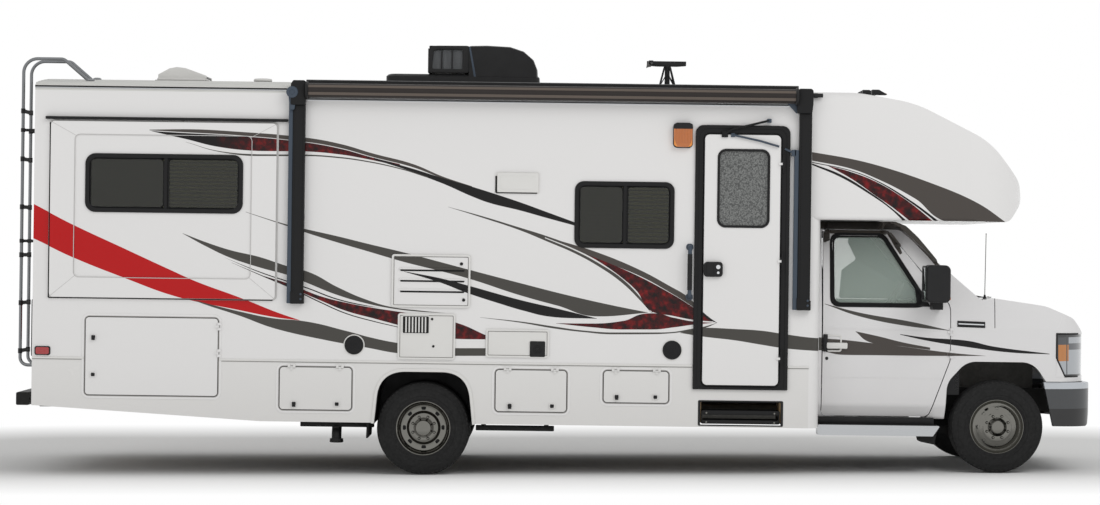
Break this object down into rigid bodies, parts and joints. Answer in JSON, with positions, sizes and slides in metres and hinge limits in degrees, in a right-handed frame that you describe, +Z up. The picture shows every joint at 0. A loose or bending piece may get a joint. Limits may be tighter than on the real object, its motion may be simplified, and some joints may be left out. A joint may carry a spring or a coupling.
{
  "type": "class c motorhome",
  "caption": "Full-size class C motorhome on a cutaway van chassis, with cab-over bunk, slide-out room, awning, opening doors and steered wheels.",
  "frame": {"origin": "on the ground at the middle of the overall length and width", "axes": "+X forward, +Y to the driver's side (left), +Z up"},
  "size_m": [8.3973, 2.811, 3.3836],
  "materials": {
    "gelcoat_white": "gloss gel-coat",
    "cab_paint": "gloss paint",
    "chassis_black": "satin",
    "cast_steel": "raw",
    "engine_grey": "raw",
    "tank_black": "matte",
    "chrome": "polished",
    "black_plastic": "matte",
    "white_plastic": "satin",
    "tinted_glass": "gloss",
    "cab_glass": "gloss",
    "obscure_glass": "pebbled",
    "lens": "clear and amber lens",
    "aluminium": "satin",
    "floor_wood": "plywood",
    "interior_grey": "grained",
    "seat_fabric": "woven",
    "awning_fabric": "rolled vinyl",
    "tyre": "rubber",
    "steel_box": "satin"
  },
  "bodies": {
    "coach": {"cab_shell": "cab_paint", "front_fenders": "cab_paint", "grille": "chrome", "front_bumper": "chrome", "windscreen": "cab_glass", "dashboard": "interior_grey", "cab_seats": "seat_fabric", "running_boards": "aluminium", "side_wall_right": "gelcoat_white", "side_wall_left": "gelcoat_white", "skirt_right": "gelcoat_white", "skirt_left": "gelcoat_white", "rear_wall": "gelcoat_white", "roof": "white_plastic", "coach_floor": "floor_wood", "baggage_boxes": "steel_box", "front_cap": "gelcoat_white", "window_frames": "black_plastic", "window_glass": "tinted_glass", "entry_door_frame": "aluminium", "side_vents": "white_plastic", "awning": "awning_fabric", "roof_fittings": "white_plastic", "ladder": "aluminium", "lamps": "lens", "frame_rails": "chassis_black", "front_suspension": "cast_steel", "rear_axle": "cast_steel", "powertrain": "engine_grey", "tanks": "tank_black", "rear_bumper": "chassis_black"},
    "slide_out_room": {"slideout": "gelcoat_white", "slideout_window": "tinted_glass"},
    "entry_door": {"entry_door": "gelcoat_white", "entry_door_glass": "obscure_glass"},
    "entry_step": {"entry_step": "chassis_black"},
    "cab_door_right": {"cab_door_right": "cab_paint", "cab_door_glass_right": "cab_glass", "mirror_right": "black_plastic"},
    "cab_door_left": {"cab_door_left": "cab_paint", "cab_door_glass_left": "cab_glass", "mirror_left": "black_plastic"},
    "hood": {"hood": "cab_paint"},
    "baggage_door_rear": {"baggage_door_rear": "gelcoat_white"},
    "baggage_door_axle": {"baggage_door_axle": "gelcoat_white"},
    "baggage_door_middle": {"baggage_door_middle": "gelcoat_white"},
    "baggage_door_entry": {"baggage_door_entry": "gelcoat_white"},
    "baggage_door_left": {"baggage_door_left": "gelcoat_white"},
    "antenna_head": {"antenna_head": "white_plastic"},
    "knuckle_right": {"knuckle_right": "cast_steel"},
    "knuckle_left": {"knuckle_left": "cast_steel"},
    "wheel_front_right": {"tyre_front_right": "tyre", "rim_front_right": "chrome"},
    "wheel_front_left": {"tyre_front_left": "tyre", "rim_front_left": "chrome"},
    "wheels_rear_right": {"tyres_rear_right": "tyre", "rims_rear_right": "chrome"},
    "wheels_rear_left": {"tyres_rear_left": "tyre", "rims_rear_left": "chrome"}
  },
  "joints": [
    {"name": "slide_out_travel", "type": "slide", "parent": "coach", "child": "slide_out_room", "axis": [0, -1, 0], "range_m": [0, 0.6]},
    {"name": "entry_door_hinge", "type": "hinge", "parent": "coach", "child": "entry_door", "pos_m": [1.73409, -1.298, 1.62253], "axis": [0.0131, 0, 0.9999], "range_deg": [0, 95]},
    {"name": "entry_step_slide", "type": "slide", "parent": "coach", "child": "entry_step", "axis": [0, -1, 0], "range_m": [0, 0.23]},
    {"name": "cab_door_right_hinge", "type": "hinge", "parent": "coach", "child": "cab_door_right", "pos_m": [3.08012, -1.016, 1.00486], "axis": [0.0131, 0, 0.9999], "range_deg": [0, 65]},
    {"name": "cab_door_left_hinge", "type": "hinge", "parent": "coach", "child": "cab_door_left", "pos_m": [3.08012, 1.016, 1.00486], "axis": [-0.0131, 0, -0.9999], "range_deg": [0, 65]},
    {"name": "hood_hinge", "type": "hinge", "parent": "coach", "child": "hood", "pos_m": [3.42991, 0, 1.36831], "axis": [0, -1, 0], "range_deg": [0, 50]},
    {"name": "baggage_rear_hinge", "type": "hinge", "parent": "coach", "child": "baggage_door_rear", "pos_m": [-2.60358, -1.281, 0.91225], "axis": [0.0131, 0, 0.9999], "range_deg": [0, 100]},
    {"name": "baggage_axle_hinge", "type": "hinge", "parent": "coach", "child": "baggage_door_axle", "pos_m": [-1.84849, -1.281, 0.83736], "axis": [-0.9999, 0, 0.0131], "range_deg": [0, 90]},
    {"name": "baggage_middle_hinge", "type": "hinge", "parent": "coach", "child": "baggage_door_middle", "pos_m": [-0.18765, -1.281, 0.81462], "axis": [-0.9999, 0, 0.0131], "range_deg": [0, 90]},
    {"name": "baggage_entry_hinge", "type": "hinge", "parent": "coach", "child": "baggage_door_entry", "pos_m": [0.62232, -1.281, 0.80702], "axis": [-0.9999, 0, 0.0131], "range_deg": [0, 90]},
    {"name": "baggage_left_hinge", "type": "hinge", "parent": "coach", "child": "baggage_door_left", "pos_m": [-2.9444, 1.281, 0.85171], "axis": [0.9999, 0, -0.0131], "range_deg": [0, 90]},
    {"name": "antenna_turn", "type": "hinge", "parent": "coach", "child": "antenna_head", "pos_m": [0.91108, 0, 3.23144], "axis": [0.0131, 0, 0.9999], "range_deg": [-180, 180]},
    {"name": "steer_right", "type": "hinge", "parent": "coach", "child": "knuckle_right", "pos_m": [3.445, -0.82, 0.36], "axis": [0.0131, 0, 0.9999], "range_deg": [-30, 30]},
    {"name": "wheel_front_right_spin", "type": "hinge", "parent": "knuckle_right", "child": "wheel_front_right", "pos_m": [3.445, -0.881, 0.36], "axis": [0, 1, 0], "continuous": true},
    {"name": "wheels_rear_right_spin", "type": "hinge", "parent": "coach", "child": "wheels_rear_right", "pos_m": [-1.025, -1.078, 0.36], "axis": [0, 1, 0], "continuous": true},
    {"name": "steer_left", "type": "hinge", "parent": "coach", "child": "knuckle_left", "pos_m": [3.445, 0.82, 0.36], "axis": [0.0131, 0, 0.9999], "range_deg": [-30, 30]},
    {"name": "wheel_front_left_spin", "type": "hinge", "parent": "knuckle_left", "child": "wheel_front_left", "pos_m": [3.445, 0.881, 0.36], "axis": [0, 1, 0], "continuous": true},
    {"name": "wheels_rear_left_spin", "type": "hinge", "parent": "coach", "child": "wheels_rear_left", "pos_m": [-1.025, 1.078, 0.36], "axis": [0, 1, 0], "continuous": true}
  ],
  "couplings": [
    {"joint": "steer_right", "follows": "steer_left", "ratio": 1}
  ]
}
